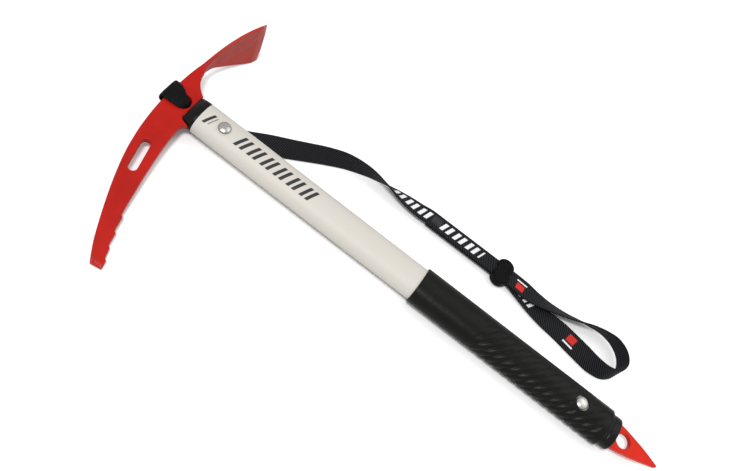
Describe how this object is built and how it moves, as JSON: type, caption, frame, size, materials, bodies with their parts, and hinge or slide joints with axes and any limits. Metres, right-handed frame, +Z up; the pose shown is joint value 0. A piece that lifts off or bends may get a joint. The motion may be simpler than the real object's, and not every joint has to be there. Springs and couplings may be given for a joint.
{
  "type": "ice axe",
  "caption": "Classic mountaineering ice axe: curved toothed pick, broad adze, oval shaft with rubber grip, flat spike, and a webbing wrist leash with a sliding keeper.",
  "frame": {"origin": "centre of the bottom of the axe's box, on the surface it lies on", "axes": "+X along the shaft towards the spike, +Y towards the adze, +Z up from the surface"},
  "size_m": [0.5526, 0.2736, 0.0565],
  "materials": {
    "painted_head": "satin red powder coat on forged steel",
    "painted_spike": "satin red powder coat on steel",
    "painted_shaft": "satin warm white coat on aluminium tube",
    "black_plastic": "moulded satin black",
    "keeper_plastic": "moulded matt black",
    "grip_rubber": "matt moulded rubber",
    "rivet_steel": "bright domed head",
    "webbing": "black woven polyester webbing",
    "thread": "black bonded thread"
  },
  "bodies": {
    "axe": {"head": "painted_head", "head_collar": "black_plastic", "tang_packer_front": "black_plastic", "tang_packer_back": "black_plastic", "shaft_tube": "painted_shaft", "head_rivet": "rivet_steel", "grip_sleeve": "grip_rubber", "end_ferrule": "black_plastic", "spike_packer_front": "black_plastic", "spike_packer_back": "black_plastic", "spike": "painted_spike", "spike_rivet": "rivet_steel", "anchor_loop": "webbing", "leash_webbing": "webbing", "loop_bartack": "thread"},
    "keeper": {"strap_slider": "keeper_plastic"}
  },
  "joints": [
    {"name": "keeper_slide", "type": "slide", "parent": "axe", "child": "keeper", "axis": [1, 0, 0], "range_m": [-0.054, 0]}
  ]
}
